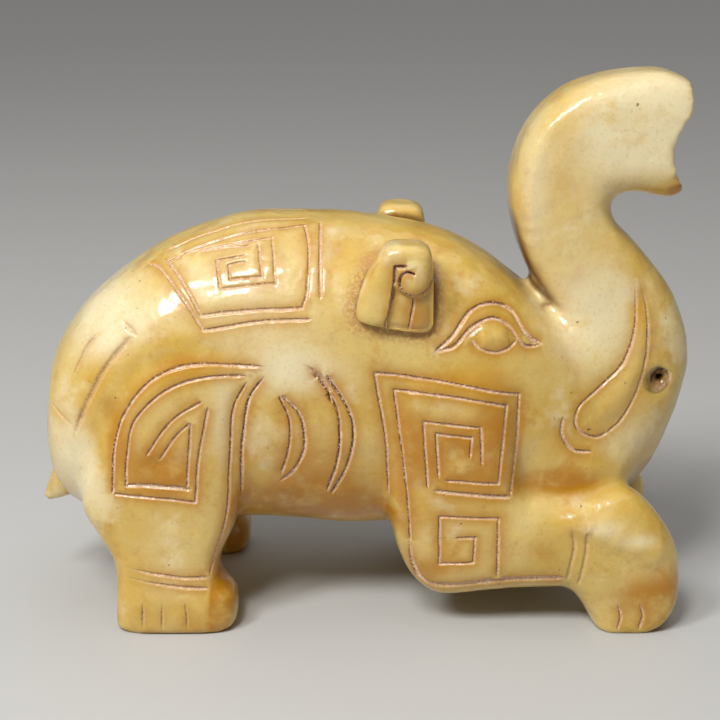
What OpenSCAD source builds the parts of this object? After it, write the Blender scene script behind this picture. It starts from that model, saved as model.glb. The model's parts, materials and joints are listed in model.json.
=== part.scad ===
// A small standing elephant carved from one block of jade, with its trunk raised
// and its forelegs folded. The stone is divided into carved regions that meet
// face to face. +X points to the head, +Y to the elephant's left, +Z up, and
// the soles rest on z = 0.

/* [Body] */
// Overall length of the figure, from the tail tip to the front of the trunk
figure_length = 122; // [90:0.1:160]
// Width of the belly and rump at their widest
body_width = 42; // [38:0.5:44]

/* [Head and trunk] */
// Width of the head across the cheeks
cheek_width = 40; // [36:0.5:42]
// Thickness of the trunk from side to side
trunk_thickness = 19; // [15:0.5:22]
// Radius of the hollow cut across the end of the trunk
trunk_end_radius = 9.5; // [8.5:0.5:10.5]

/* [Ears] */
// Distance between the outer faces of the two ears
ear_span = 43.6; // [43:0.2:46]
// Thickness of an ear, with the part that is sunk in the head
ear_thickness = 9; // [7:0.5:11]

/* [Legs] */
// Distance between the outer faces of the two feet of a pair
stance_width = 46.4; // [45:0.2:48]
// Thickness of a foot from side to side
foot_thickness = 12.4; // [10:0.2:14]

/* [Cord hole] */
// Diameter of the hole through the front of the face
cord_hole_d = 2.2; // [1.6:0.1:3.4]
// Diameter of each countersunk mouth of the hole
cord_mouth_d = 4.2; // [3.8:0.1:5.4]

/* [Hidden] */

// The outlines below are drawn for a figure of this length.
drawn_length = 122;
stone_scale = figure_length / drawn_length;

// Points round a slice, and slices between one station and the next.
slice_points = 32;
torso_steps = 4;
limb_steps = 3;
tail_steps = 3;

// A station is [[x, z] of one edge, [x, z] of the other edge, lowest y, highest y,
// squareness]. Squareness 2 is an ellipse, and a larger one is nearer to a box.

body_r = body_width / 2;
cheek_r = cheek_width / 2;
trunk_r = trunk_thickness / 2;
stance_r = stance_width / 2;

// A station that is the same on both sides of the middle plane.
function middle(top, bottom, r, square) = [top, bottom, -r, r, square];

// The slice where the neck ends and the head begins.
neck = middle([-3, 73.5], [-3, 14.9], body_r, 2.5);

// From the rump to the neck: the spine, then the belly line below it.
torso_stations = [
    middle([-58.1, 36.5], [-58.1, 30.5], 4, 2),
    middle([-57.7, 41], [-57.3, 25], 9.5, 2.1),
    middle([-56.6, 48], [-55.2, 20.6], 14, 2.2),
    middle([-51.3, 56.5], [-50, 17.6], body_r - 3, 2.3),
    middle([-43.4, 63.4], [-42.3, 16.2], body_r - 1, 2.4),
    middle([-31, 70.5], [-31, 16.2], body_r, 2.4),
    middle([-17.3, 73.8], [-17, 16], body_r, 2.4),
    neck,
];

// The crease between the forehead and the trunk, with the jaw opposite to it.
crease = middle([34.7, 57.4], [60, 40.5], trunk_r + 1.4, 2.8);

// The slice where the face ends and the trunk begins.
trunk_root = middle([32.9, 59.6], [60.2, 52.4], trunk_r + 0.4, 3.2);

// From the neck over the forehead, while the lower edge runs along the jaw.
head_stations = [
    neck,
    middle([6, 72.4], [8, 15], cheek_r + 0.4, 2.4),
    middle([14, 70.6], [19, 17], cheek_r, 2.4),
    middle([21.3, 67.2], [30, 19], cheek_r - 0.7, 2.4),
    middle([28.2, 62.2], [40.5, 19.6], cheek_r - 2.6, 2.4),
    middle([33.2, 58.2], [49, 20.4], cheek_r - 5, 2.4),
    middle([34.5, 57.1], [55, 26.4], trunk_r + 3.2, 2.5),
    crease,
    middle([34.4, 57.9], [61, 46.4], trunk_r + 0.7, 3),
    trunk_root,
];

// From the face up the back of the trunk, round the curl and out to its end.
trunk_stations = [
    trunk_root,
    middle([30.2, 64.8], [57.6, 58.9], trunk_r, 3.4),
    middle([27.7, 72], [51.4, 67.2], trunk_r - 0.2, 3.6),
    middle([26.8, 78.5], [45.7, 73.2], trunk_r - 0.3, 3.6),
    middle([27.9, 85], [45, 76], trunk_r - 0.4, 3.6),
    middle([31.5, 92], [46.3, 77.9], trunk_r - 0.5, 3.6),
    middle([37.9, 97.1], [49.4, 78.3], trunk_r - 0.5, 3.6),
    middle([46, 99.3], [53, 77.5], trunk_r - 0.6, 3.6),
    middle([53, 99.7], [55.6, 77.2], trunk_r - 0.7, 3.6),
    middle([58, 98], [57.6, 78.4], trunk_r - 1, 3.6),
];
trunk_end_axis = [64.5, 85.6];

// Right foreleg: down the shoulder, round the elbow, along the folded forearm
// and down to the sole. The front or upper edge comes first, then the rear or
// lower edge. The shoulder and the haunch stand a little proud of the body.
foreleg_stations = [
    [[25, 50.4], [8, 51.4], -cheek_r + 1, -10, 2.6],
    [[28.4, 46], [2.6, 47.5], -cheek_r - 0.9, -9, 3],
    [[28.4, 37], [3.8, 37.5], -cheek_r - 1.6, -9, 3.4],
    [[29, 28.5], [5, 24], -stance_r + 1.4, -9, 3.2],
    [[30.5, 26.8], [8, 12], -stance_r + 1.2, -9, 3],
    [[31.8, 26.4], [15, 5.8], -stance_r + 1.1, -9, 2.8],
    [[34, 26.2], [28, 7.1], -stance_r + 1.1, -9.2, 2.8],
    [[39.5, 26.4], [37.3, 7.4], -stance_r + 1, -9.5, 2.8],
    [[47.2, 26.8], [40.2, 5.2], -stance_r + 0.4, -9.8, 2.8],
    [[53.8, 22], [41.6, 3], -stance_r + 0.3, -stance_r + foot_thickness, 2.8],
    [[58, 14], [42.3, 1.8], -stance_r + 0.3, -stance_r + foot_thickness, 2.9],
    [[58.5, 7], [42.8, 1.2], -stance_r + 0.3, -stance_r + foot_thickness, 3.2],
    [[56.8, 2], [43.1, 0.5], -stance_r + 0.3, -stance_r + foot_thickness - 0.3, 3.6],
    [[54, 0], [43.8, 0], -stance_r + 0.9, -stance_r + foot_thickness - 1, 3.6],
];

// Right hind leg: from the top of the haunch down to the sole.
hindleg_stations = [
    [[-20, 54.5], [-33, 54.5], -body_r + 1.6, -10, 2.6],
    [[-17, 49.5], [-39.5, 49.5], -body_r - 0.3, -9.5, 2.8],
    [[-18, 42], [-44.5, 42], -body_r - 0.8, -9, 3],
    [[-20, 32], [-49.2, 32], -body_r - 0.9, -9, 3],
    [[-21.5, 23.5], [-50.6, 24], -body_r - 0.9, -9.4, 3],
    [[-23.6, 18], [-47.8, 18.2], -stance_r + 1.2, -9.8, 3.1],
    [[-25.8, 13], [-45.1, 13], -stance_r + 0.9, -10.2, 3.2],
    [[-25.4, 9.4], [-44.6, 9.4], -stance_r + 0.6, -stance_r + foot_thickness, 3.4],
    [[-22.8, 6], [-44.6, 6], -stance_r + 0.1, -stance_r + foot_thickness, 3.8],
    [[-22.6, 2.6], [-44.9, 2.2], -stance_r, -stance_r + foot_thickness, 4],
    [[-23.4, 0.6], [-44.8, 0.6], -stance_r + 0.2, -stance_r + foot_thickness - 0.3, 4],
    [[-24.4, 0], [-44.1, 0], -stance_r + 0.9, -stance_r + foot_thickness - 1, 4],
];

// Right ear: an upright slab, from its top down, front edge first.
ear_out = -ear_span / 2;
ear_in = ear_out + ear_thickness;
ear_stations = [
    [[10.2, 72], [5.8, 72.2], ear_out + 1.6, ear_in - 2, 2.8],
    [[11.8, 71.2], [4.2, 71.6], ear_out + 0.5, ear_in - 0.5, 3.6],
    [[12.5, 69], [3.2, 69.8], ear_out, ear_in, 4],
    [[12.7, 64], [0.6, 65], ear_out, ear_in, 4],
    [[12.8, 58.6], [-0.7, 60.4], ear_out, ear_in, 4],
    [[12.4, 57], [-0.7, 59], ear_out + 0.4, ear_in, 3.6],
    [[11.4, 56.4], [0.6, 58.3], ear_out + 1.5, ear_in - 1, 2.8],
];

// Tail: a short pointed stub, from inside the rump down to its tip.
tail_stations = [
    middle([-56, 30], [-50.5, 21.5], 3.6, 2.4),
    middle([-58.4, 25.6], [-54.4, 19.2], 3.1, 2.3),
    middle([-59.7, 21.9], [-57.2, 18], 2, 2.2),
    middle([-61, 18.3], [-60.1, 17.2], 0.6, 2),
];

// Where the cord hole crosses the middle plane, and half the thickness of the
// face where the hole comes out.
cord_hole_at = [54.6, 44.9];
face_r = trunk_r + 0.2;

function flat_list(s) = [s[0][0], s[0][1], s[1][0], s[1][1], s[2], s[3], s[4]];
function clamped(i, n) = max(0, min(n - 1, i));

// Slope of a smooth curve through b that never swings past its neighbours.
function slope(a, b, c) =
    (b - a) * (c - b) <= 0 ? 0 : 2 * (b - a) * (c - b) / (c - a);

// A smooth step from b to c, where a comes before them and d after them.
function blended(a, b, c, d, t) =
    let (m = slope(a, b, c), n = slope(b, c, d))
    b + t * m + t * t * (3 * (c - b) - 2 * m - n) + t * t * t * (2 * (b - c) + m + n);

// All the slices of a solid: its stations with smooth steps between them.
function slices(stations, steps) =
    let (
        rows = [for (s = stations) flat_list(s)],
        count = len(rows)
    )
    [for (i = [0:count - 2], k = [0:steps - (i == count - 2 ? 0 : 1)])
        let (
            a = rows[clamped(i - 1, count)],
            b = rows[i],
            c = rows[i + 1],
            d = rows[clamped(i + 2, count)]
        )
        [for (j = [0:6]) blended(a[j], b[j], c[j], d[j], k / steps)]];

function signed_power(v, p) = sign(v) * pow(abs(v), p);

// The points round one slice, a superellipse between its two edges.
function slice_ring(s) =
    [for (i = [0:slice_points - 1])
        let (
            angle = 360 * i / slice_points,
            along = signed_power(cos(angle), 2 / s[6]),
            across = signed_power(sin(angle), 2 / s[6])
        )
        [
            (s[0] + s[2]) / 2 + along * (s[0] - s[2]) / 2,
            (s[4] + s[5]) / 2 + across * (s[5] - s[4]) / 2,
            (s[1] + s[3]) / 2 + along * (s[1] - s[3]) / 2
        ]];

// One closed solid through all the stations.
module carved(stations, steps) {
    rings = [for (s = slices(stations, steps)) slice_ring(s)];
    last = len(rings) - 1;
    n = slice_points;
    sides = [for (r = [0:last - 1], i = [0:n - 1])
        let (
            a = r * n + i,
            b = r * n + (i + 1) % n
        )
        each [[a, b, a + n], [b, b + n, a + n]]];
    caps = [
        [for (i = [n - 1:-1:0]) i],
        [for (i = [0:n - 1]) last * n + i]
    ];
    scale(stone_scale)
        polyhedron(points = [for (r = rings) each r], faces = concat(sides, caps), convexity = 6);
}

module torso_shape() {
    carved(torso_stations, torso_steps);
}

module head_shape() {
    carved(head_stations, limb_steps);
}

module torso() {
    color("#dcb866")
        torso_shape();
}

// A straight hole right across the face, with a cone at each mouth.
module cord_hole() {
    hole_r = cord_hole_d / 2;
    flare = (cord_mouth_d - cord_hole_d) / 2;
    scale(stone_scale)
        translate([cord_hole_at[0], 0, cord_hole_at[1]])
            rotate([90, 0, 0]) {
                cylinder(h = 3 * face_r, r = hole_r, center = true, $fn = 48);
                for (turn = [0, 180])
                    rotate([turn, 0, 0])
                        translate([0, 0, face_r - flare])
                            cylinder(h = 3 * flare, r1 = hole_r, r2 = hole_r + 3 * flare, $fn = 48);
            }
}

module head() {
    color("#d9b45e")
        difference() {
            head_shape();
            cord_hole();
        }
}

// The end of the trunk is hollowed from side to side.
module trunk() {
    color("#e6cb86")
        difference() {
            carved(trunk_stations, limb_steps);
            scale(stone_scale)
                translate([trunk_end_axis[0], 0, trunk_end_axis[1]])
                    rotate([90, 0, 0])
                        cylinder(h = 2 * trunk_thickness, r = trunk_end_radius, center = true, $fn = 96);
        }
}

module foreleg() {
    difference() {
        carved(foreleg_stations, limb_steps);
        torso_shape();
        head_shape();
    }
}

module hindleg() {
    difference() {
        carved(hindleg_stations, limb_steps);
        torso_shape();
    }
}

module ear() {
    difference() {
        carved(ear_stations, limb_steps);
        torso_shape();
        head_shape();
    }
}

module mirrored() {
    mirror([0, 1, 0])
        children();
}

module ear_right() { color("#d6b262") ear(); }

module ear_left() { color("#d6b262") mirrored() ear(); }

module foreleg_right() { color("#d4a94f") foreleg(); }

module foreleg_left() { color("#d4a94f") mirrored() foreleg(); }

module hindleg_right() { color("#d9b86e") hindleg(); }

module hindleg_left() { color("#d9b86e") mirrored() hindleg(); }

module tail() {
    color("#e0c27c")
        difference() {
            carved(tail_stations, tail_steps);
            torso_shape();
        }
}

torso();
head();
trunk();
ear_right();
ear_left();
foreleg_right();
foreleg_left();
hindleg_right();
hindleg_left();
tail();
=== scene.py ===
"""The looks of a carved elephant in honey-yellow jade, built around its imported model.

Shapes are worked out in millimetres as arrays of points and triangles, and turned into
Blender meshes in metres at the end. +X is the way the elephant faces, +Z is up, and the
carving is written down for its right side, at -Y, and mirrored with a slightly different
hand to the left one. Places on the figure are written for one DRAWN_SIZE long, wide and
high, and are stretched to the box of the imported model.
"""

import json
import math

import bmesh
import bpy
import numpy as np
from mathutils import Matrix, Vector, noise
from mathutils.bvhtree import BVHTree
from mathutils.kdtree import KDTree


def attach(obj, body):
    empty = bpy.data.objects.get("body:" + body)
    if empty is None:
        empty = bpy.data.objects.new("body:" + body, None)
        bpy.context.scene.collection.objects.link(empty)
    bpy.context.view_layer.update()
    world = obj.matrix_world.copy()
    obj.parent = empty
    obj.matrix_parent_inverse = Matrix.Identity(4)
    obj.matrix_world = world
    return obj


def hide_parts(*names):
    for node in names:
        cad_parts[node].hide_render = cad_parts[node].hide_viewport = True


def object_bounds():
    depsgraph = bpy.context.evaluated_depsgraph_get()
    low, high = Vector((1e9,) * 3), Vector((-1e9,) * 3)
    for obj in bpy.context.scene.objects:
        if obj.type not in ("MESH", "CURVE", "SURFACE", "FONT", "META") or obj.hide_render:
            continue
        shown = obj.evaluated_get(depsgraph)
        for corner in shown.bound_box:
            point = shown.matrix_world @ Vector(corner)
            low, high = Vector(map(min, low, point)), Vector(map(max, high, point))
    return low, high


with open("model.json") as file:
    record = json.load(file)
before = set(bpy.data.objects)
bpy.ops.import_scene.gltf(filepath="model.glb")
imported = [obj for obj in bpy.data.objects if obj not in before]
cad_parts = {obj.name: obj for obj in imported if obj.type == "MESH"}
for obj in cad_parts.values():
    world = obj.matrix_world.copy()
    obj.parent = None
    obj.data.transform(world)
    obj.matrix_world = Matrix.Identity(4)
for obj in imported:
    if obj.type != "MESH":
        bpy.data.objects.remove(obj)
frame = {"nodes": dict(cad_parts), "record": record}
cad_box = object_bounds()

MM = 0.001
SIDES = {"right": -1, "left": 1}

DRAWN_SIZE = np.array([122, 46.4, 99.7])
frame_size = (np.array(cad_box[1]) - np.array(cad_box[0])) / MM
STRETCH = np.round(frame_size / DRAWN_SIZE, 4)


# ---------------------------------------------------------------- arrays of points and triangles


def unit(vectors):
    return vectors / np.maximum(np.linalg.norm(vectors, axis=-1, keepdims=True), 1e-12)


def smooth_step(value, low, high):
    t = np.clip((value - low) / (high - low), 0, 1)
    return t * t * (3 - 2 * t)


def as_drawn(rows):
    """Where points are on the figure as it is drawn, as columns x, y and z."""
    return (rows[:, :3] / STRETCH).T


def vertex_normals(rows, faces):
    points = rows[:, :3]
    corner = points[faces]
    face_normal = np.cross(corner[:, 1] - corner[:, 0], corner[:, 2] - corner[:, 0])
    total = np.zeros_like(points)
    for k in range(3):
        for axis in range(3):
            total[:, axis] += np.bincount(faces[:, k], face_normal[:, axis], len(points))
    return unit(total)


def edge_table(faces):
    """The edges, and for each face the numbers of the three that start at its corners."""
    pairs = np.sort(faces[:, [0, 1, 1, 2, 2, 0]].reshape(-1, 2), axis=1)
    key = pairs[:, 0] * (faces.max() + 1) + pairs[:, 1]
    _, first, inverse = np.unique(key, return_index=True, return_inverse=True)
    return pairs[first], inverse.reshape(-1, 3)


def neighbour_mean(values, edges, count):
    total = np.zeros_like(values)
    for a, b in ((0, 1), (1, 0)):
        for axis in range(values.shape[1]):
            total[:, axis] += np.bincount(edges[:, a], values[edges[:, b], axis], len(values))
    return total / count[:, None]


def smoothed(points, faces, rounds, weight=1.0, shrink=0.5, grow=-0.52):
    """Evens out a surface and keeps its volume: each round pulls points in, then pushes them back."""
    edges, _ = edge_table(faces)
    count = np.bincount(edges.ravel(), minlength=len(points))
    weight = np.broadcast_to(weight, len(points))[:, None]
    for _ in range(rounds):
        for step in (shrink, grow):
            points = points + step * weight * (neighbour_mean(points, edges, count) - points)
    return points


def fillet(points, faces, rounds):
    """Fills hollow creases, and leaves the crests alone."""
    edges, _ = edge_table(faces)
    count = np.bincount(edges.ravel(), minlength=len(points))
    for _ in range(rounds):
        pull = neighbour_mean(points, edges, count) - points
        outward = (pull * vertex_normals(points, faces)).sum(1, keepdims=True)
        points = points + 0.5 * pull * (outward > 0)
    return points


def split_long_edges(rows, faces, target):
    """One pass of refinement: each edge longer than target(points) is halved on the curved surface.
    A row is a point and what goes with it, which is interpolated."""
    edges, face_edges = edge_table(faces)
    middle = rows[edges].mean(1)
    ends = rows[edges][:, :, :3]
    straight = ends.mean(1)
    chosen = np.linalg.norm(ends[:, 1] - ends[:, 0], axis=1) > target(straight)
    normals = vertex_normals(rows, faces)[edges]
    for k in (0, 1):
        rise = ((straight - ends[:, k]) * normals[:, k]).sum(1, keepdims=True)
        middle[:, :3] -= 0.25 * rise * normals[:, k]
    number = np.where(chosen, len(rows) + np.cumsum(chosen) - 1, -1)
    cut = number[face_edges]
    parts = [faces[(cut < 0).all(1)]]
    for turn in range(3):
        f, m = np.roll(faces, -turn, axis=1), np.roll(cut, -turn, axis=1)
        one = (m[:, 0] >= 0) & (m[:, 1] < 0) & (m[:, 2] < 0)
        a, b, c, ab = f[one, 0], f[one, 1], f[one, 2], m[one, 0]
        parts += [np.stack([a, ab, c], 1), np.stack([ab, b, c], 1)]
        two = (m[:, 0] >= 0) & (m[:, 1] >= 0) & (m[:, 2] < 0)
        a, b, c, ab, bc = f[two, 0], f[two, 1], f[two, 2], m[two, 0], m[two, 1]
        parts += [np.stack([ab, b, bc], 1), np.stack([a, ab, bc], 1), np.stack([a, bc, c], 1)]
    every = (cut >= 0).all(1)
    a, b, c = faces[every].T
    ab, bc, ca = cut[every].T
    parts += [np.stack(t, 1) for t in ((a, ab, ca), (ab, b, bc), (ca, bc, c), (ab, bc, ca))]
    return np.concatenate([rows, middle[chosen]]), np.concatenate(parts), chosen.sum()


# ---------------------------------------------------------------- from the frame to a blank of stone


def node_arrays(name, overlap=0.06):
    """A copy of a CAD node's surface, grown by overlap so that neighbours fuse."""
    mesh = bmesh.new()
    mesh.from_mesh(frame["nodes"][name].data)
    bmesh.ops.remove_doubles(mesh, verts=mesh.verts, dist=1e-6)
    bmesh.ops.triangulate(mesh, faces=mesh.faces)
    points = np.array([v.co for v in mesh.verts]) / MM
    faces = np.array([[v.index for v in f.verts] for f in mesh.faces])
    mesh.free()
    return points + overlap * vertex_normals(points, faces), faces


def to_object(name, points, faces):
    mesh = bpy.data.meshes.new(name)
    mesh.from_pydata((points * MM).tolist(), [], faces.tolist())
    mesh.update()
    piece = bpy.data.objects.new(name, mesh)
    bpy.context.scene.collection.objects.link(piece)
    return piece


def triangles_of(mesh):
    points = np.empty(len(mesh.vertices) * 3)
    mesh.vertices.foreach_get("co", points)
    mesh.calc_loop_triangles()
    faces = np.empty(len(mesh.loop_triangles) * 3, int)
    mesh.loop_triangles.foreach_get("vertices", faces)
    return points.reshape(-1, 3) / MM, faces.reshape(-1, 3)


def with_modifiers(piece):
    """The piece's surface with its modifiers applied; the piece itself is removed."""
    graph = bpy.context.evaluated_depsgraph_get()
    shown = piece.evaluated_get(graph)
    arrays = triangles_of(shown.to_mesh())
    shown.to_mesh_clear()
    bpy.data.objects.remove(piece)
    return arrays


def joined(parts):
    """Several surfaces as one, whether or not they touch."""
    points, faces, start = [], [], 0
    for part_points, part_faces in parts:
        points.append(part_points[:, :3])
        faces.append(part_faces + start)
        start += len(part_points)
    return np.concatenate(points), np.concatenate(faces)


def fused(parts, voxel):
    """One closed skin around several surfaces."""
    blank = to_object("blank", *joined(parts))
    remesh = blank.modifiers.new("skin", "REMESH")
    remesh.mode = "VOXEL"
    remesh.voxel_size = voxel * MM
    return with_modifiers(blank)


# ---------------------------------------------------------------- carved lines

SAMPLE_STEP = 0.07


def through(points, step=SAMPLE_STEP):
    """Evenly spaced points along a smooth curve through the given ones, stretched to the frame."""
    p = np.array(points, float)
    p *= STRETCH[[0, 2]] if p.shape[1] == 2 else STRETCH
    if len(p) == 2:
        dense = p[0] + (p[1] - p[0]) * np.linspace(0, 1, 9)[:, None]
    else:
        ends = np.concatenate([[2 * p[0] - p[1]], p, [2 * p[-1] - p[-2]]])
        dense = []
        for a, b, c, d in zip(ends, ends[1:], ends[2:], ends[3:]):
            t = np.linspace(0, 1, 16, endpoint=False)[:, None]
            dense.append(
                b
                + 0.5 * t * (c - a)
                + t**2 * (a - 2.5 * b + 2 * c - 0.5 * d)
                + t**3 * (-0.5 * a + 1.5 * b - 1.5 * c + 0.5 * d)
            )
        dense = np.concatenate(dense + [p[-1:]])
    along = np.concatenate([[0], np.cumsum(np.linalg.norm(np.diff(dense, axis=0), axis=1))])
    even = np.linspace(0, along[-1], max(int(along[-1] / step), 2))
    return np.stack([np.interp(even, along, dense[:, k]) for k in range(p.shape[1])], 1)


def cut(*strokes, width=0.62, depth=0.42, ends=(1.0, 1.0), fill=1.0, dirt_and_shade=0.0):
    """A groove of one or more strokes that meet at sharp corners. ends are how far its two ends
    taper, fill is how much powder is left in it, and the last is how far the dark part of that
    spreads from the edge away from the light; that dark part is painted shade with some dirt.
    0 leaves a thin dark edge, and a large negative value leaves none."""
    return dict(strokes=strokes, width=width, depth=depth, ends=ends, fill=fill, dirt_and_shade=dirt_and_shade)


def bent(*corners, **more):
    """A groove of straight strokes from corner to corner."""
    return cut(*zip(corners, corners[1:]), **more)


# Points are (x, z) in the side view, or (x, y, z) near the spine, where the side view is too flat.
HAUNCH = [
    cut([(-16.5, 50.7), (-28.5, 51.2), (-36, 48.5), (-41.5, 42), (-43.5, 35), (-44, 27.2)],
        width=0.78, ends=(3, 0.3)),
    cut([(-44, 27.2), (-36, 26.5), (-29.3, 25.6)],
        [(-29.3, 25.6), (-28.6, 33), (-26.5, 43.7)], ends=(0.3, 1.5)),
    cut([(-19.5, 49), (-27, 48.9), (-34, 46.5), (-39.5, 41), (-41.2, 34), (-41.5, 29)], ends=(2, 0.5)),
    cut([(-42, 28.9), (-36, 28.8), (-30.2, 28.1)], width=1.0, ends=(0.6, 0.6)),
    cut([(-29.7, 40.7), (-30.2, 34.5), (-30.6, 28.8)], ends=(0.6, 0.4)),
    cut([(-29.7, 40.7), (-32.5, 38), (-35.5, 33.6)], ends=(0.6, 0.8)),
    cut([(-27.5, 44.7), (-33, 41), (-37.7, 34.5)], ends=(0.8, 0.8)),
]
HIND_LEG = [
    cut([(-19.7, 48), (-22.2, 43), (-23, 34), (-24, 22.5), (-27.2, 11.3)], ends=(1.5, 1), dirt_and_shade=0.45),
    cut([(-16.6, 49), (-19.5, 44.5), (-20.7, 37), (-21.3, 26)], width=0.75, ends=(2, 2), dirt_and_shade=0.5),
    cut([(-42.5, 13), (-35.5, 11.6), (-27.5, 10.8)], width=0.8, depth=0.35, ends=(8, 1), fill=0.8),
    cut([(-42.4, 11), (-35.5, 9.8), (-27.5, 8.9)], width=0.75, depth=0.35, ends=(8, 1), fill=0.8),
]
HIND_LEG += [
    cut(toe, width=0.6, depth=0.3, ends=(2, 2), fill=0.45, dirt_and_shade=0.4)
    for toe in ([(-39.4, 6.4), (-39.6, 1.2)], [(-35.9, 6.5), (-36.1, 1)], [(-31.7, 7), (-31.4, 1)])
]
RIBS = [
    cut([(-14.2, 45.6), (-12.4, 40.5), (-12.6, 35.3), (-14.1, 30)], ends=(0.8, 1.5), dirt_and_shade=0.4),
    cut([(-13.6, 45.6), (-10.4, 41.5), (-9.8, 36), (-11.5, 31.5), (-14.3, 28.5)],
        width=0.8, ends=(0.6, 1.5), dirt_and_shade=0.4),
    cut([(-7.2, 48.8), (-4.2, 43.5), (-3.5, 38), (-4.2, 32), (-6, 26.3)],
        width=0.8, ends=(0.8, 1.5), dirt_and_shade=0.6),
    cut([(-5.8, 49.3), (-2.2, 43.5), (-1.1, 38), (-2.2, 32), (-5.2, 25.7)],
        width=0.8, ends=(0.8, 1.5), dirt_and_shade=0.6),
]
# A pit in the stone itself, that the carver left.
FLAW = [
    cut([(-9.6, 51), (-7.6, 49.4), (-5.8, 46.9), (-4.9, 44.2)], width=1.5, depth=0.7, ends=(4, 2), dirt_and_shade=0.45),
]
SHOULDER = [
    cut([(5.1, 25.5), (4.6, 37), (2.6, 49.5)], [(2.6, 49.5), (14, 48), (28.1, 45)],
        [(28.1, 45), (27.9, 36), (27, 26.7)], ends=(2.5, 0.5)),
    bent((13, 27.9), (27, 26.3), width=0.85),
    cut([(9, 18), (8.3, 28), (6, 46.4)], [(6, 46.4), (16, 45.2), (25.9, 43.3)], [(25.9, 43.3), (24.7, 29)],
        [(24.7, 29), (15, 29.8)], ends=(0.1, 0.8)),
    bent((12.1, 28.2), (11.1, 40.8), (21.3, 39.6), (21.7, 32.4)),
    bent((14, 30.2), (13.4, 38.6), (19.7, 37.8), (19.5, 34)),
]
FORELEG = [
    cut([(9, 18), (9.5, 13.5), (11.5, 9.7), (16, 9.1), (26, 10.3), (37, 10.7)], width=1.3, depth=0.5,
        ends=(6, 1.5), dirt_and_shade=-0.2),
    bent((24.9, 11), (24.8, 22.5), (14.2, 22.9), (14.3, 13.6), (20.4, 14), (20.7, 18.9), (17, 18.7)),
    cut([(37.9, 20.8), (38.5, 17), (37.6, 10.2)], width=0.9, depth=0.3, fill=0.3),
    cut([(40.7, 20.5), (40.7, 16), (39.7, 9.3)], width=0.9, depth=0.3, fill=0.3),
    cut([(46.7, 6.3), (47.5, 3.8), (47, 0.9)], width=0.7, ends=(2, 1), fill=0.8),
    cut([(50.8, 6.4), (51.5, 4), (50.9, 1.1)], width=0.7, ends=(2, 1), fill=0.8),
]
FACE = [
    cut([(13.1, 53), (16, 55.6), (19, 59.5), (22.7, 60.7), (26.5, 59.2), (29.3, 55.2), (32.3, 53)],
        width=0.9, depth=0.45),
    cut([(13.3, 53), (16.5, 54), (19.5, 57), (23, 58.4), (26.2, 56.8), (28.8, 53.5), (32.3, 53)],
        width=0.8, depth=0.45),
    cut([(18.5, 55.2), (19.8, 56.3), (21.1, 57.1)], width=1.2, depth=0.32, ends=(1.5, 1.5), dirt_and_shade=-1.5),
    cut([(29.4, 54.1), (30.6, 53.5), (31.6, 53.2)], width=0.9, depth=0.25, fill=0.6, dirt_and_shade=-1.5),
    cut([(19.2, 55.3), (21, 53.4), (24, 52.7), (26.5, 53.5), (27.7, 54.5)], width=0.6, depth=0.35),
    cut([(36.3, 40.2), (36.2, 36.9), (38.2, 33.9), (41.8, 33.2)], width=0.75),
    cut([(49.3, 63.3), (49.5, 55), (47.6, 48.5), (43.3, 44.3), (39.4, 41.6), (38.6, 38.7), (40, 36.8),
         (42.6, 35.7), (44.7, 36.2)], width=0.75, depth=0.35, ends=(12, 0.5), fill=0.75, dirt_and_shade=0.25),
    cut([(50.1, 63.2), (51.6, 57.5), (51.8, 49.5), (50.3, 43.3), (47.4, 38.1), (44.7, 36.2)],
        width=0.75, depth=0.35, ends=(12, 0.5), fill=0.65, dirt_and_shade=0.3),
]
SADDLE = [
    cut([(-7.1, -5.6, 73.1), (-6.9, -12.8, 69.7), (-6.8, -18.2, 62.1)],
        width=0.75, depth=0.35, fill=0.8, dirt_and_shade=-0.2),
    cut([(-9.8, -6.7, 72.8), (-8.9, -13, 69.6), (-9.2, -17.6, 63.4), (-10, -18.7, 60.8)],
        [(-10, -18.7, 60.8), (-19, -19, 60.5), (-27.6, -18.6, 59.4)],
        [(-27.6, -18.6, 59.4), (-29.4, -16.8, 62.4), (-31.4, -14.3, 65), (-33.9, -10.4, 67)],
        [(-33.9, -10.4, 67), (-28.4, -9.5, 69.6), (-21.3, -9, 71.7), (-14.2, -7.8, 72.5), (-9.8, -6.7, 72.8)],
        width=0.7, depth=0.35, ends=(0.1, 0.1), fill=0.8, dirt_and_shade=-0.15),
    cut([(-8.3, -19.3, 59), (-18, -19.5, 58.5), (-27.2, -19.5, 57)],
        [(-27.2, -19.5, 57), (-31.2, -16.5, 62.4), (-35.5, -10.7, 66), (-38, -7.4, 66)],
        width=0.7, depth=0.35, fill=0.8),
    cut([(-32, -9.9, 68), (-22, -10.9, 70.4), (-15.5, -10.4, 71.3)],
        [(-15.5, -10.4, 71.3), (-14.6, -16.8, 64.7)], [(-14.6, -16.8, 64.7), (-24.2, -16.9, 63.7)],
        [(-24.2, -16.9, 63.7), (-25.1, -13.3, 67.9)], [(-25.1, -13.3, 67.9), (-19.6, -13.4, 68.9)],
        width=0.6, depth=0.3, ends=(4, 0.8), fill=0.75, dirt_and_shade=-0.2),
    cut([(-28.5, -10.7, 68.8), (-18.8, -11.8, 70.3)], width=0.6, depth=0.3, fill=0.7, dirt_and_shade=-0.2),
    cut([(-17.9, -11.3, 70.7), (-17, -16.2, 65.7)], [(-17, -16.2, 65.7), (-22.6, -16.1, 65.2)],
        [(-22.6, -16.1, 65.2), (-22.9, -14.3, 67.4)], [(-22.9, -14.3, 67.4), (-19.7, -14.3, 68)],
        width=0.6, depth=0.3, fill=0.75, dirt_and_shade=-0.2),
    cut([(-35, -6.2, 66.8), (-28, -5.8, 70), (-19, -5, 72.6), (-9.5, -3.6, 73.8)], width=0.7, depth=0.3,
        ends=(3, 1), fill=0.7, dirt_and_shade=-0.2),
]
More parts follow.
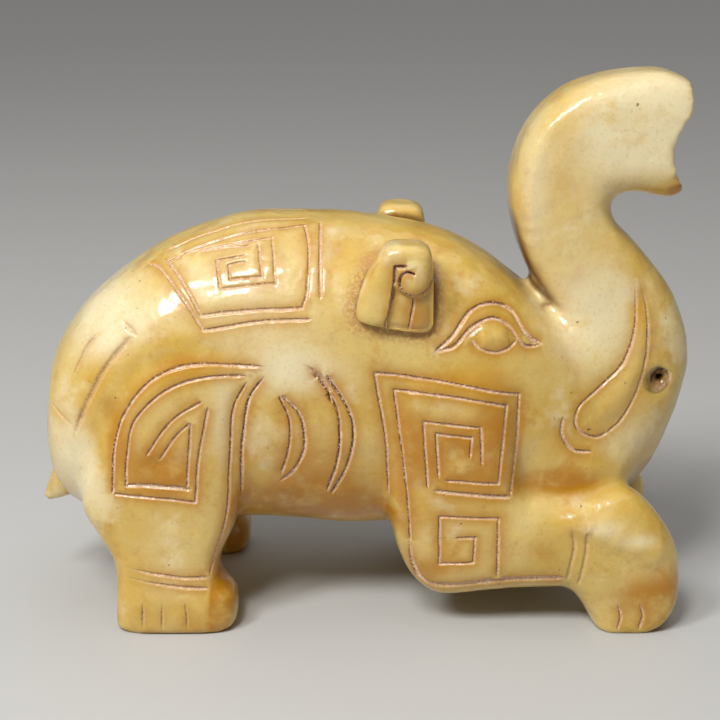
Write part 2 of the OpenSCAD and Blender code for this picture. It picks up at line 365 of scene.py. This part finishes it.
RUMP = [
    cut([(-41.7, 57.6), (-39.1, 55.7)], width=1.2, depth=0.35, ends=(1.5, 1.5), fill=0.4, dirt_and_shade=-0.2),
    cut([(-46.3, 55.1), (-48.6, 52.4), (-50.9, 47.5)], width=1.3, depth=0.35, ends=(2.5, 2.5), fill=0.35),
    cut([(-39.9, 55.5), (-45, 49.4), (-47.9, 43.9), (-50.9, 37.2)],
        width=1.5, depth=0.5, ends=(2, 4), fill=0.35),
    cut([(-56, 41.9), (-51.4, 38.8)], width=0.9, depth=0.25, ends=(2, 2), fill=0.4, dirt_and_shade=-0.2),
]
# Where the surface rises (negative depth) or sinks between the lines.
BODY_SWELLS = [
    cut([(-17, 52.6), (-29, 53.2), (-38.5, 50), (-44.3, 42.5), (-46, 34), (-46.3, 26)],
        width=6, depth=0.35, ends=(4, 4)),
    cut([(-36.5, 32), (-34.5, 34)], width=7, depth=0.3),
    cut([(15.5, 35), (18.5, 35)], width=7, depth=0.3),
    cut([(21, 55.2), (26, 55.5)], width=6.4, depth=-0.45, ends=(0.5, 0.5)),
    cut([(50.6, 60), (50.7, 51), (47.6, 43.6), (43.3, 39.2)], width=6, depth=-0.5, ends=(7, 1.5)),
    cut([(33.6, 58.4), (35.2, 56.2)], width=3.4, depth=1.3, ends=(0.6, 0.6)),
    cut([(35, 22.6), (43, 20.6), (49, 18.2), (55.5, 14.8)], width=7.5, depth=-0.75, ends=(5, 3)),
    cut([(38.5, 94.5), (34, 91.5), (31, 86), (29.9, 79), (30.3, 71), (32, 63)],
        width=5, depth=-0.4, ends=(6, 6)),
]
BODY_CUTS = HAUNCH + HIND_LEG + RIBS + FLAW + SHOULDER + FORELEG + FACE + SADDLE + RUMP
EAR_CUTS = [
    cut([(8.1, 69), (6, 68.8)], [(6, 68.8), (5.8, 65), (5.1, 61.2), (4.3, 57.6)], width=0.7, depth=0.8,
        ends=(0.5, 0.8), fill=0.9, dirt_and_shade=0.5),
    cut([(9.4, 67.6), (8, 68), (6.9, 67.2), (6.7, 65.6), (7.6, 64.2), (9.5, 63.6), (11.4, 64.4),
         (12.6, 66.4)], width=0.75, depth=0.8, ends=(0.4, 0.6), dirt_and_shade=0.9),
    cut([(9.3, 63.2), (9.1, 61), (8.4, 57.3)], width=0.6, depth=0.45, ends=(0.3, 0.6), dirt_and_shade=0.3),
]


def wander(along, seed, size, length):
    """Smooth wandering around 0 along a stroke, as a hand's is."""
    rng = np.random.default_rng(seed)
    knots = rng.normal(size=int(along[-1] / length) + 4)
    return size * np.interp(along / length + 1, np.arange(len(knots)), knots)


# Rays that look for the surface start this far out, past the sides of the stone.
OUTSIDE = 60


def laid_on(surface, points, side):
    """Points of the side view, or near the surface, moved onto it, with the surface's normals."""
    found = []
    for p in points:
        if len(p) == 2:
            hit = surface.ray_cast(Vector((p[0], side * OUTSIDE, p[1])), Vector((0, -side, 0)))
        else:
            hit = surface.find_nearest(Vector((p[0], -side * p[1], p[2])))
        if hit[0] is not None:
            found.append((*hit[0], *hit[1]))
    found = np.array(found)
    return found[:, :3], found[:, 3:]


# The slope of a groove that faces the light lies this way from its middle. Its pale polishing
# dust is painted as lit, and the edge on the other side is painted dark as shaded.
LIT_SIDE = np.array([0.75, 0, -0.65])
# How unsteady the hand is, as the size and length of its wandering: in a line's course in
# millimetres, and in its width and its depth as shares of them. Near a corner it is steadier.
COURSE_WANDER = (0.045, 3.5)
WIDTH_WANDER = (0.08, 1.3)
DEPTH_WANDER = (0.14, 0.9)
STEADY_END = 1.5
# A line's width at its tapered ends, as a share of its full width.
END_WIDTH = 0.45


def groove_samples(cuts, surface, sides=(-1, 1)):
    """Points along every groove, with the direction of its lit slope, half width and depth at each."""
    rows = []
    for side in sides:
        for number, groove in enumerate(cuts):
            strokes = [laid_on(surface, through(s), side) for s in groove["strokes"]]
            lengths = [len(p) * SAMPLE_STEP for p, _ in strokes]
            total, before = sum(lengths), 0.0
            for k, (points, normals) in enumerate(strokes):
                seed = 1000 * (side + 2) + 10 * number + k
                own = np.arange(len(points)) * SAMPLE_STEP
                along = before + own
                before += lengths[k]
                start, end = groove["ends"]
                fade = smooth_step(along, -0.25 * start, start) * smooth_step(total - along, -0.25 * end, end)
                sideways = np.cross(normals, unit(np.gradient(points, axis=0)))
                ease = np.minimum(np.minimum(own, own[-1] - own) / STEADY_END, 1)[:, None]
                points = points + sideways * ease * wander(own, seed, *COURSE_WANDER)[:, None]
                taper = END_WIDTH + (1 - END_WIDTH) * fade
                half = 0.5 * groove["width"] * taper * (1 + wander(own, seed + 500, *WIDTH_WANDER))
                deep = groove["depth"] * fade * (1 + wander(own, seed + 700, *DEPTH_WANDER))
                facing = np.tanh(3 * sideways @ LIT_SIDE)[:, None]
                powder = np.tile((groove["fill"], groove["dirt_and_shade"]), (len(points), 1))
                rows.append(np.column_stack([points, sideways * facing, half, deep, powder]))
    return np.concatenate(rows)


class Grooves:
    """Answers how far points are from the grooves."""

    CELL = 0.5

    def __init__(self, cuts, surface, reach=3.0):
        self.samples = groove_samples(cuts, surface)
        self.tree = KDTree(len(self.samples))
        for k, row in enumerate(self.samples):
            self.tree.insert(row[:3], k)
        self.tree.balance()
        self.low = self.samples[:, :3].min(0) - reach - 2 * self.CELL
        size = self.samples[:, :3].max(0) + reach + 2 * self.CELL - self.low
        self.grid = np.full(np.ceil(size / self.CELL).astype(int) + 1, reach)
        ring = int(reach / self.CELL)
        cells = np.unique(((self.samples[:, :3] - self.low) / self.CELL).astype(int), axis=0)
        steps = np.arange(-ring, ring + 1)
        for i in steps:
            for j in steps:
                for k in steps:
                    far = self.CELL * max(math.sqrt(i * i + j * j + k * k) - 1, 0)
                    if far < reach:
                        at = tuple((cells + (i, j, k)).T)
                        self.grid[at] = np.minimum(self.grid[at], far)

    def roughly(self, points):
        """A quick lower bound of the distance, up to reach."""
        at = np.clip(((points - self.low) / self.CELL).astype(int), 0, np.array(self.grid.shape) - 1)
        high = self.low + self.CELL * (np.array(self.grid.shape) - 1)
        inside = ((points > self.low) & (points < high)).all(1)
        return np.where(inside, self.grid[tuple(at.T)], self.grid.max())

    def nearest(self, points, within):
        """For the points that lie within a distance: their numbers, distances and samples."""
        near = np.nonzero(self.roughly(points) < within)[0]
        found = [self.tree.find(points[k]) for k in near]
        distance = np.array([f[2] for f in found])
        sample = np.array([f[1] for f in found])
        keep = distance < within
        return near[keep], distance[keep], self.samples[sample[keep]]


def refined(rows, faces, grooves, steps):
    """Halves edges until they are under each (length, reach) near the grooves."""
    for limit, reach in steps:
        for _ in range(5):
            rows, faces, split = split_long_edges(
                rows, faces, lambda p: np.where(grooves.roughly(p) < reach, limit, np.inf)
            )
            if not split:
                break
    return rows, faces


SWELL_REACH = 5.0
GROOVE_REACH = 3.4
# How round the bottom of a groove is, how deep and wide the worn hollow along it is, and how
# wide the stain round it is.
BOTTOM = 0.08
HOLLOW_DEPTH = 0.16
HOLLOW_WIDTH = 1.1
STAIN_WIDTH = 1.5


def swollen(rows, faces, swells):
    """Raises or sinks the surface gently along strokes, and mostly sideways: a negative depth raises it."""
    near, distance, sample = swells.nearest(rows[:, :3], SWELL_REACH)
    u = np.clip(distance / sample[:, 6], 0, 1)
    rows = rows.copy()
    outward = vertex_normals(rows, faces)[near] * (1, 1, 0.3)
    rows[near, :3] -= outward * (sample[:, 7] * (1 - u * u) ** 2)[:, None]
    return rows


def grooved(rows, faces, grooves):
    """Sinks the grooves in, and returns the masks that colour them."""
    near, distance, sample = grooves.nearest(rows[:, :3], GROOVE_REACH)
    half, deep = sample[:, 6], sample[:, 7]
    u = distance / half
    valley = np.clip(1 + BOTTOM - np.sqrt(u * u + BOTTOM**2), 0, 1)
    profile = valley + HOLLOW_DEPTH * np.exp(-((distance / HOLLOW_WIDTH) ** 2))
    across = ((rows[near, :3] - sample[:, :3]) * sample[:, 3:6]).sum(1) / half
    strength = np.clip(deep / 0.3, 0, 1) * sample[:, 8]
    masks = np.zeros((len(rows), 3))
    # cut is the groove. lit is high on the side towards the light, which is painted pale as lit, and low at
    # the edge away from it, which is painted as shade. halo is the stain round it.
    masks[near] = np.stack([
        smooth_step(1 + BOTTOM - u, 0, 0.4) * strength,
        np.clip(0.5 + 0.5 * across - 0.35 * sample[:, 9], 0, 1),
        np.exp(-((distance / STAIN_WIDTH) ** 2)) * strength,
    ], 1)
    rows = rows.copy()
    rows[near, :3] -= vertex_normals(rows, faces)[near] * (profile * deep)[:, None]
    return rows, dict(zip(("cut", "lit", "halo"), masks.T))


def sheltered(rows, faces, occluder, rays=14, reach=26.0, close=3.5, lift=0.15, spread=0.95, seed=5):
    """How shut in each point is, from 0 in the open to 1 in a pit: all round, and by what is close.
    Shade is painted there, with some dirt."""
    rng = np.random.default_rng(seed)
    normals = vertex_normals(rows, faces)
    sky = unit(rng.normal(size=(rays, 3)))
    shut = np.zeros((len(rows), 2))
    for k, (p, n) in enumerate(zip(rows[:, :3], normals)):
        start = Vector(p + lift * n)
        for d in unit(n + spread * sky):
            hit, _, _, far = occluder.ray_cast(start, Vector(d), reach)
            if hit is not None:
                shut[k] += (1, max(1 - far / close, 0))
    edges, _ = edge_table(faces)
    count = np.bincount(edges.ravel(), minlength=len(rows))
    shut /= rays
    for _ in range(3):
        shut = 0.4 * shut + 0.6 * neighbour_mean(shut, edges, count)
    return shut


def hand_polished(rows, faces, size):
    """The slight unevenness that polishing by hand leaves: broad waves, and shorter, lower ones."""
    normals = vertex_normals(rows, faces)
    apart = Vector((9, 9, 9))
    rise = [
        0.10 * noise.noise(Vector(p) / 9.0) + 0.035 * noise.noise(Vector(p) / 3.3 + apart)
        for p in rows[:, :3]
    ]
    return rows + normals * (size * np.array(rise))[:, None]


# ---------------------------------------------------------------- pieces


def surface_of(rows, faces):
    return BVHTree.FromPolygons(rows[:, :3].tolist(), faces.tolist())


# Patches of deeper or paler stone on both sides, and of painted shade and painted light: the amber
# under the belly, where it meets the hind leg, at the front of the hind foot and below the chin
# is painted shade, and the pale along the ridge of the fore foot is a painted highlight.
# Columns: x, z, half sizes, strength of amber (negative is pale).
TONE_AND_SHADING = [
    (-35, 31.5, 5.5, 4.5, 1.0), (-43.5, 37, 3, 8, 0.6), (-33, 51.5, 9, 3, 0.6), (-46, 46, 4, 6, 0.35),
    (16.5, 34.5, 6, 5.5, 0.9), (24, 38, 3.5, 8, 0.6), (8, 37, 2.5, 9, 0.6), (12, 12, 8, 3.5, 0.5),
    (33, 17, 4, 5, 0.4), (56, 8, 4, 6, 0.4), (56.5, 79.3, 2.4, 1.5, 1.2), (61, 92, 1.5, 2.5, 0.9),
    (-9, 31, 10, 9, 0.5), (20, 48, 10, 3, 0.3), (38, 28, 12, 3, 0.8), (-5, 23, 16, 4, 0.9),
    (10, 60, 5, 4, 0.5), (-4.5, 70, 2, 3, 0.5),
    (-30, 2, 5, 3, 0.4), (53, 91, 12, 8, -1.5), (40, 80, 8, 14, -0.35), (-20, 62, 18, 9, -0.5),
    (50, 32, 8, 8, -0.6), (-34, 20, 7, 5, -0.35), (-51, 32, 6, 10, -0.9), (42, 56, 10, 10, -0.8),
    (-12, 50, 9, 5, -0.8), (-24, 38, 2.5, 12, -0.6), (-45, 56, 8, 8, -1.0), (31, 22, 5, 3, -0.4),
    (30.5, 80, 3, 14, -0.5), (43, 21, 4, 1.5, -0.6), (50, 18.5, 4, 1.5, -0.6), (-34, 10, 6, 5, -0.4),
    (54, 27, 3, 4, 0.7), (50, 8, 6, 4, 0.5), (50.3, 60, 1.6, 5, 0.8), (-25.8, 7, 1.3, 7, 1.4),
    (-22.5, 6, 3, 5, 0.5), (-21.5, 24, 2, 5, 0.9),
]


def tone_and_shading(rows):
    """How amber each point is, or how pale where it is negative."""
    total = np.zeros(len(rows))
    across, _, up = as_drawn(rows)
    for x, z, wide, high, strength in TONE_AND_SHADING:
        apart = ((across - x) / wide) ** 2 + ((up - z) / high) ** 2
        total += strength * np.exp(-0.9 * apart)
    return total


CREASE_ANGLE = math.radians(62)


def finish_piece(name, rows, faces, masks, nodes, material):
    """A piece of the model from its points, each with how shut in and how cornered it is."""
    piece = to_object(name, rows[:, :3], faces)
    mesh = piece.data
    mesh.shade_smooth()
    mesh.set_sharp_from_angle(angle=CREASE_ANGLE)
    masks = dict(masks, shut=rows[:, 3], corner=rows[:, 4], tone_and_shading=tone_and_shading(rows))
    for mask, values in masks.items():
        mesh.attributes.new(mask, "FLOAT", "POINT").data.foreach_set("value", values.astype(np.float32))
    mesh.materials.append(material)
    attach(piece, "root")
    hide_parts(*nodes)
    return piece


BODY_NODES = ["torso", "head", "trunk", "foreleg_right", "foreleg_left", "hindleg_right", "hindleg_left"]


def turned(profile, place, steps=40):
    """A solid of revolution along Y through place: profile is (y, radius) from end to end."""
    turn = np.linspace(0, 2 * math.pi, steps, endpoint=False)
    x, z = place
    rings = [np.stack([x + r * np.cos(turn), np.full(steps, y), z + r * np.sin(turn)], 1) for y, r in profile]
    tips = [(x, profile[0][0], z), (x, profile[-1][0], z)]
    points = np.concatenate(rings + [tips])
    last = len(profile) * steps
    faces = []
    for k in range(steps):
        n = (k + 1) % steps
        for row in range(len(profile) - 1):
            a, b = row * steps + k, row * steps + n
            faces += [(a, b, a + steps), (b, b + steps, a + steps)]
        faces += [(n, k, last), (last - steps + k, last - steps + n, last + 1)]
    return points, np.array(faces)


def cord_hole():
    """The middle of the cord hole, and its radius and length."""
    mount = next(m for m in frame["record"]["mounts"] if m["name"] == "cord_hole")
    return np.array(mount["pos_m"]) / MM, mount["dims"]


# Where the drill's cone ends outside the face, as y and radius, and the radius of the mouth it cuts.
DRILL_END = (-14, 5.5)
MOUTH_R = 1.95
# How far the mouth stands out past the hole's own length.
MOUTH_PROUD = 0.35


def drilled(points, faces):
    """The stone with its cord hole, which has a dished mouth on each side."""
    hole, size = cord_hole()
    face = 0.5 * size["length_mm"] + MOUTH_PROUD
    profile = [DRILL_END, (-face, MOUTH_R), (-face + 0.8, 1.45), (-face + 1.5, size["r_mm"])]
    profile += [(-y, r) for y, r in reversed(profile)]
    stone_part = to_object("blank", points, faces)
    drill = to_object("drill", *turned(profile, (hole[0], hole[2])))
    cutting = stone_part.modifiers.new("cut", "BOOLEAN")
    cutting.operation, cutting.solver, cutting.object = "DIFFERENCE", "MANIFOLD", drill
    result = with_modifiers(stone_part)
    bpy.data.objects.remove(drill)
    return result


# Half the width that the chest is filled out to, and how far the forearms' tops come down.
CHEST_R = 17.8
FOREARM_DROP = 1.1


def settled(name, points):
    """Fills the chest out sideways and lowers the forearms' tops, so that they meet in a crease."""
    x, y, z = as_drawn(points)
    if name == "head":
        chest = np.exp(-(((x - 38) / 11) ** 2) - ((z - 27) / 7) ** 2) * smooth_step(np.abs(y), 8, 12)
        points[:, 1] += chest * np.sign(y) * np.maximum(CHEST_R - np.abs(y), 0)
    if name.startswith("foreleg"):
        points[:, 2] -= FOREARM_DROP * np.exp(-(((x - 36) / 7) ** 2)) * smooth_step(z, 20, 25)
    return points


# Lower than this, the stone is ground flat to stand on.
SOLE_HEIGHT = 0.25


def body_blank():
    """The body as one smooth stone, with the rim of the trunk's end and the soles kept crisp."""
    parts = [node_arrays(name) for name in BODY_NODES]
    parts = [(settled(name, points), faces) for name, (points, faces) in zip(BODY_NODES, parts)]
    points, faces = fused(parts, voxel=0.85)
    x, _, z = as_drawn(points)
    rim = smooth_step(z, 76, 79) * smooth_step(x, 52, 55)
    sole = smooth_step(-z, -2.5, -0.5)
    points = smoothed(points, faces, rounds=40, weight=1 - 0.75 * np.maximum(rim, sole))
    points = fillet(points, faces, rounds=10)
    points = hand_polished(points, faces, size=1 - sole)
    points[:, 2] = np.where(points[:, 2] < SOLE_HEIGHT, 0, points[:, 2])
    return drilled(points, faces)


def ear_blank(side):
    """An ear as a smooth slab, with its lower edge kept crisper than its top."""
    points, faces = fused([node_arrays("ear_" + side)], voxel=0.32)
    weight = 0.3 + 0.7 * smooth_step(as_drawn(points)[2], 57, 65)
    return smoothed(points, faces, rounds=25, weight=weight), faces


def tail_blank():
    points, faces = fused([node_arrays("tail")], voxel=0.35)
    return smoothed(points, faces, rounds=12), faces


def scuffed(rows, ears, reach=4.2):
    """How close each point is to an ear or the cord hole, where the tool could not get in to polish."""
    hole, _ = cord_hole()
    near = smooth_step(-np.hypot(rows[:, 0] - hole[0], rows[:, 2] - hole[2]), -2.6, -1.4)
    for k, p in enumerate(rows[:, :3]):
        far = ears.find_nearest(Vector(p), reach)[3]
        if far is not None:
            near[k] = 1 - far / reach
    return near


# How far from the cord hole's axis its mouth is looked for, and where its dished rim ends.
MOUTH_REACH = 4
RIM_R = 2.1
# The longest edge that is left, and how far from a groove: coarse round the grooves, then fine in them.
BODY_STEPS = ((0.6, 0.8), (0.3, 0.3))


def body(blank, occluder, ears, material):
    """The carved body. The hole's mouth has painted shade, brown, at its upper left, and a painted highlight,
    pale as powder, at its lower right.
    """
    points, faces = blank
    rows = np.column_stack([points, sheltered(points, faces, occluder), scuffed(points, ears)])
    surface = surface_of(rows, faces)
    swells, grooves = Grooves(BODY_SWELLS, surface), Grooves(BODY_CUTS, surface)
    rows, faces = refined(rows, faces, grooves, BODY_STEPS)
    rows = swollen(rows, faces, swells)
    rows, masks = grooved(rows, faces, Grooves(BODY_CUTS, surface_of(rows, faces)))
    hole, size = cord_hole()
    from_axis = np.hypot(rows[:, 0] - hole[0], rows[:, 2] - hole[2])
    up_left = (rows[:, 2] - hole[2]) - (rows[:, 0] - hole[0])
    mouth = (from_axis > size["r_mm"] + 0.05) & (from_axis < MOUTH_REACH)
    # The upper left of the hole's mouth, which faces away from the light, is painted as shade through the
    # corner mask.
    brown = smooth_step(up_left, 0, 1.6) * smooth_step(-from_axis, -RIM_R, -1.7)
    rows[:, 4] = np.where(mouth, brown, rows[:, 4])
    # The lower right of its rim is painted pale as lit, a painted highlight, through the groove masks.
    rim = mouth & (from_axis < RIM_R)
    masks["cut"] = np.where(rim, smooth_step(-up_left, 0.2, 1.4), masks["cut"])
    masks["lit"] = np.where(rim, 1, masks["lit"])
    masks["scuff"] = rows[:, 5]
    return finish_piece("stone_body", rows, faces, masks, BODY_NODES, material)


# The middle and radius of the ear's curl, how far it stands out, and how far the flat panels
# beneath it are sunk.
CURL = (9.5, 66.6)
CURL_R = 3.05
CURL_RISE = 0.75
PANEL_DEPTH = 0.95
# Where the first line ends at the bottom, and how much it leans forward as it rises.
FIRST_LINE = (4.3, 57.6)
FIRST_LEAN = 0.13
EAR_STEPS = ((0.2, 0.8),)


def ear(side, blank, around, material):
    """A carved ear: a slab with a raised curl, and two lower panels in front of the first line."""
    rows, faces = blank
    x, _, z = as_drawn(rows)
    outward = np.array([0, SIDES[side], 0])
    outer = smooth_step(vertex_normals(rows, faces) @ outward, 0.2, 0.8)
    from_curl = np.hypot(x - CURL[0], z - CURL[1])
    first_line = FIRST_LINE[0] + FIRST_LEAN * (z - FIRST_LINE[1])
    panel = smooth_step(from_curl, CURL_R, CURL_R + 0.4) * smooth_step(x - first_line, 0.1, 0.6)
    panel *= smooth_step(-z, -66, -63.5)
    boss = np.clip(1 - (from_curl / (CURL_R + 0.4)) ** 2, 0, 1)
    rows = rows + outward * (outer * (CURL_RISE * boss - PANEL_DEPTH * panel))[:, None]
    grooves = Grooves(EAR_CUTS, surface_of(rows, faces))
    rows, faces = refined(rows, faces, grooves, EAR_STEPS)
    rows, masks = grooved(rows, faces, grooves)
    shut = sheltered(rows, faces, surface_of(*joined([(rows, faces), around])))
    masks["scuff"] = np.zeros(len(rows))
    rows = np.column_stack([rows, shut])
    return finish_piece("carved_ear_" + side, rows, faces, masks, ["ear_" + side], material)


def tail(blank, occluder, material):
    points, faces = blank
    rows = np.column_stack([points, sheltered(points, faces, occluder)])
    masks = {name: np.zeros(len(points)) for name in ("cut", "lit", "halo", "scuff")}
    return finish_piece("carved_tail", rows, faces, masks, ["tail"], material)


# ---------------------------------------------------------------- material


def jade():
    material = bpy.data.materials.new("jade")
    material.use_nodes = True
    nodes, links = material.node_tree.nodes, material.node_tree.links
    shader = nodes["Principled BSDF"]

    def node(kind, **values):
        made = nodes.new(kind)
        for key, value in values.items():
            if key in made.inputs:
                made.inputs[key].default_value = value
            else:
                setattr(made, key, value)
        return made

    def mix(factor, a, b, blend="MIX"):
        made = node("ShaderNodeMix", data_type="RGBA", blend_type=blend)
        for socket, value in ((made.inputs[0], factor), (made.inputs[6], a), (made.inputs[7], b)):
            if isinstance(value, bpy.types.NodeSocket):
                links.new(value, socket)
            else:
                socket.default_value = value
        return made.outputs[2]

    def ramp(source, low, high):
        made = node("ShaderNodeMapRange", interpolation_type="SMOOTHSTEP")
        links.new(source, made.inputs["Value"])
        made.inputs["From Min"].default_value = low
        made.inputs["From Max"].default_value = high
        return made.outputs["Result"]

    def noise_of(scale, detail=3.0, roughness=0.5):
        made = node("ShaderNodeTexNoise", Scale=scale, Detail=detail, Roughness=roughness)
        links.new(where.outputs["Object"], made.inputs["Vector"])
        return made.outputs["Fac"]

    def mask(name):
        return node("ShaderNodeAttribute", attribute_name=name).outputs["Fac"]

    def times(a, b):
        made = node("ShaderNodeMath", operation="MULTIPLY")
        for socket, value in zip(made.inputs, (a, b)):
            if isinstance(value, bpy.types.NodeSocket):
                links.new(value, socket)
            else:
                socket.default_value = value
        return made.outputs[0]

    where = node("ShaderNodeTexCoord")
    colour = mix(ramp(noise_of(60, 4, 0.6), 0.36, 0.64), HONEY, CREAM)
    colour = mix(times(ramp(noise_of(140, 5, 0.65), 0.52, 0.72), 0.5), colour, AMBER)
    colour = mix(times(ramp(noise_of(95, 4, 0.6), 0.54, 0.7), 0.6), colour, PALE)
    colour = mix(times(ramp(noise_of(38, 2), 0.56, 0.75), 0.4), colour, GREEN)
    colour = mix(times(ramp(noise_of(330, 4, 0.65), 0.5, 0.72), 0.4), colour, LEMON)
    colour = mix(times(ramp(noise_of(270, 4, 0.65), 0.54, 0.74), 0.35), colour, AMBER)
    uneven = noise_of(170, 4, 0.6)
    # Patches of amber and pale stone; some of them are painted shade, and some painted light.
    colour = mix(times(ramp(mask("tone_and_shading"), 0.02, 0.7), ramp(uneven, 0.22, 0.58)), colour, AMBER)
    colour = mix(times(ramp(mask("tone_and_shading"), -0.05, -0.9), ramp(uneven, 0.1, 0.5)), colour, PALE)
    colour = mix(times(mask("halo"), 0.7), colour, AMBER)
    grain = noise_of(1500, 3, 0.7)
    colour = mix(times(ramp(grain, 0.5, 0.8), 0.3), colour, AMBER)
    colour = mix(times(ramp(mask("scuff"), 0.2, 0.9), ramp(grain, 0.36, 0.56)), colour, SCUFF)
    # Painted shade: dark brown in close corners and at the hole's upper left, and russet where the surface is
    # shut in, as under the belly and between the legs.
    colour = mix(ramp(mask("corner"), 0.25, 0.75), colour, DIRT_AND_SHADE)
    colour = mix(ramp(mask("shut"), 0.35, 0.9), colour, RUSSET_SHADE)
    grit = noise_of(2600, 2, 0.6)
    # In the grooves: pale powder, painted as lit on the slope towards the light, and a dark edge on the other
    # side, painted shade with some dirt.
    shaded_edge = times(ramp(mask("lit"), 0.4, 0.22), ramp(grit, 0.34, 0.5))
    powder = times(mask("cut"), ramp(noise_of(420, 4, 0.7), 0.15, 0.5))
    colour = mix(powder, colour, mix(shaded_edge, mix(ramp(grit, 0.4, 0.6), CHALK_AND_LIGHT, DUST_AND_LIGHT), DIRT_AND_SHADE))
    speck = times(ramp(noise_of(620, 2, 0.6), 0.715, 0.76), ramp(noise_of(45, 3), 0.45, 0.6))
    colour = mix(times(speck, 0.8), colour, DIRT_AND_SHADE)
    links.new(colour, shader.inputs["Base Color"])
    worn = node("ShaderNodeMapRange")
    links.new(noise_of(120, 5, 0.7), worn.inputs["Value"])
    worn.inputs["To Min"].default_value = 0.2
    worn.inputs["To Max"].default_value = 0.42
    rough = node("ShaderNodeMath", operation="MAXIMUM")
    links.new(worn.outputs["Result"], rough.inputs[0])
    links.new(times(mask("cut"), 0.6), rough.inputs[1])
    links.new(rough.outputs[0], shader.inputs["Roughness"])
    ripple = node("ShaderNodeBump", Strength=0.8, Distance=0.4 * MM)
    links.new(noise_of(230, 2), ripple.inputs["Height"])
    bump = node("ShaderNodeBump", Strength=0.12, Distance=0.15 * MM)
    links.new(grain, bump.inputs["Height"])
    links.new(ripple.outputs["Normal"], bump.inputs["Normal"])
    links.new(ripple.outputs["Normal"], shader.inputs["Coat Normal"])
    links.new(bump.outputs["Normal"], shader.inputs["Normal"])
    shader.inputs["Subsurface Weight"].default_value = 0.35
    shader.inputs["Subsurface Radius"].default_value = (1.0, 0.5, 0.18)
    shader.inputs["Subsurface Scale"].default_value = 1.6 * MM
    shader.inputs["Coat Weight"].default_value = 0.5
    shader.inputs["Coat Roughness"].default_value = 0.03
    shader.inputs["IOR"].default_value = 1.45
    return material


def linear(red, green, blue):
    return tuple(((c / 255 + 0.055) / 1.055) ** 2.4 for c in (red, green, blue)) + (1,)


HONEY = linear(211, 172, 77)
CREAM = linear(219, 191, 116)
PALE = linear(234, 219, 176)
GREEN = linear(203, 182, 96)
AMBER = linear(184, 124, 0)
# Painted shade where the surface is shut in.
RUSSET_SHADE = linear(104, 60, 12)
# Dark brown: real specks, and painted shade in close corners, on the grooves' shaded edges and at the hole's
# upper left.
DIRT_AND_SHADE = linear(100, 48, 4)
# Pale powder in the grooves, painted as lit, and the painted highlight on the hole's lower right rim.
DUST_AND_LIGHT = linear(212, 166, 118)
CHALK_AND_LIGHT = linear(234, 206, 176)
LEMON = linear(228, 204, 112)
SCUFF = linear(190, 146, 92)

stone = jade()
ear_blanks = {side_name: ear_blank(side_name) for side_name in SIDES}
body_stone, tail_stone = body_blank(), tail_blank()
everything = surface_of(*joined([body_stone, tail_stone, *ear_blanks.values()]))
body(body_stone, everything, surface_of(*joined(ear_blanks.values())), stone)
tail(tail_stone, everything, stone)
for side_name, ear_stone in ear_blanks.items():
    ear(side_name, ear_stone, body_stone, stone)


# ---------------------------------------------------------------- floor, light and camera


def floor():
    mesh = bpy.data.meshes.new("floor")
    reach = 12.0
    corners = ((-1, -1), (1, -1), (1, 1), (-1, 1))
    mesh.from_pydata([(reach * x, reach * y, 0) for x, y in corners], [], [(0, 1, 2, 3)])
    plate = bpy.data.objects.new("floor", mesh)
    bpy.context.scene.collection.objects.link(plate)
    paint = bpy.data.materials.new("floor_paint")
    paint.use_nodes = True
    matt = paint.node_tree.nodes["Principled BSDF"]
    matt.inputs["Base Color"].default_value = (0.52, 0.515, 0.50, 1)
    matt.inputs["Roughness"].default_value = 0.7
    mesh.materials.append(paint)


def aimed(thing, place, target):
    thing.location = place
    thing.rotation_euler = (Vector(target) - Vector(place)).to_track_quat("-Z", "Y").to_euler()


def area_light(name, place, size, power, colour=(1, 1, 1)):
    lamp = bpy.data.lights.new(name, "AREA")
    lamp.shape = "RECTANGLE"
    lamp.size, lamp.size_y = size
    lamp.energy = power
    lamp.color = colour
    holder = bpy.data.objects.new(name, lamp)
    bpy.context.scene.collection.objects.link(holder)
    aimed(holder, place, CENTRE)


CENTRE = (0, 0, 0.04545)
floor()
area_light("window_left", (-0.34, -0.32, 0.52), (0.13, 0.20), 2.3)
area_light("window_right", (-0.15, -0.36, 0.57), (0.13, 0.20), 2.3)
area_light("fill", (0.60, -0.60, 0.30), (0.6, 0.5), 0.3)

sky = bpy.data.lights.new("sky", "SUN")
sky.energy = 0.8
sky.angle = math.radians(70)
sky_holder = bpy.data.objects.new("sky", sky)
bpy.context.scene.collection.objects.link(sky_holder)
aimed(sky_holder, (0.1, 0.15, 0.9), CENTRE)

world = bpy.data.worlds.new("studio")
world.use_nodes = True
world.node_tree.nodes["Background"].inputs["Color"].default_value = (1.0, 0.98, 0.94, 1)
world.node_tree.nodes["Background"].inputs["Strength"].default_value = 0.10
bpy.context.scene.world = world
bpy.context.scene.view_settings.view_transform = "Standard"

camera = bpy.data.objects.new("camera", bpy.data.cameras.new("camera"))
camera.data.lens = 75.2
camera.data.sensor_width = 36
bpy.context.scene.collection.objects.link(camera)
elevation, distance = math.radians(17.5), 0.283
aimed(camera, (0, -distance * math.cos(elevation), CENTRE[2] + distance * math.sin(elevation)), CENTRE)
bpy.context.scene.camera = camera
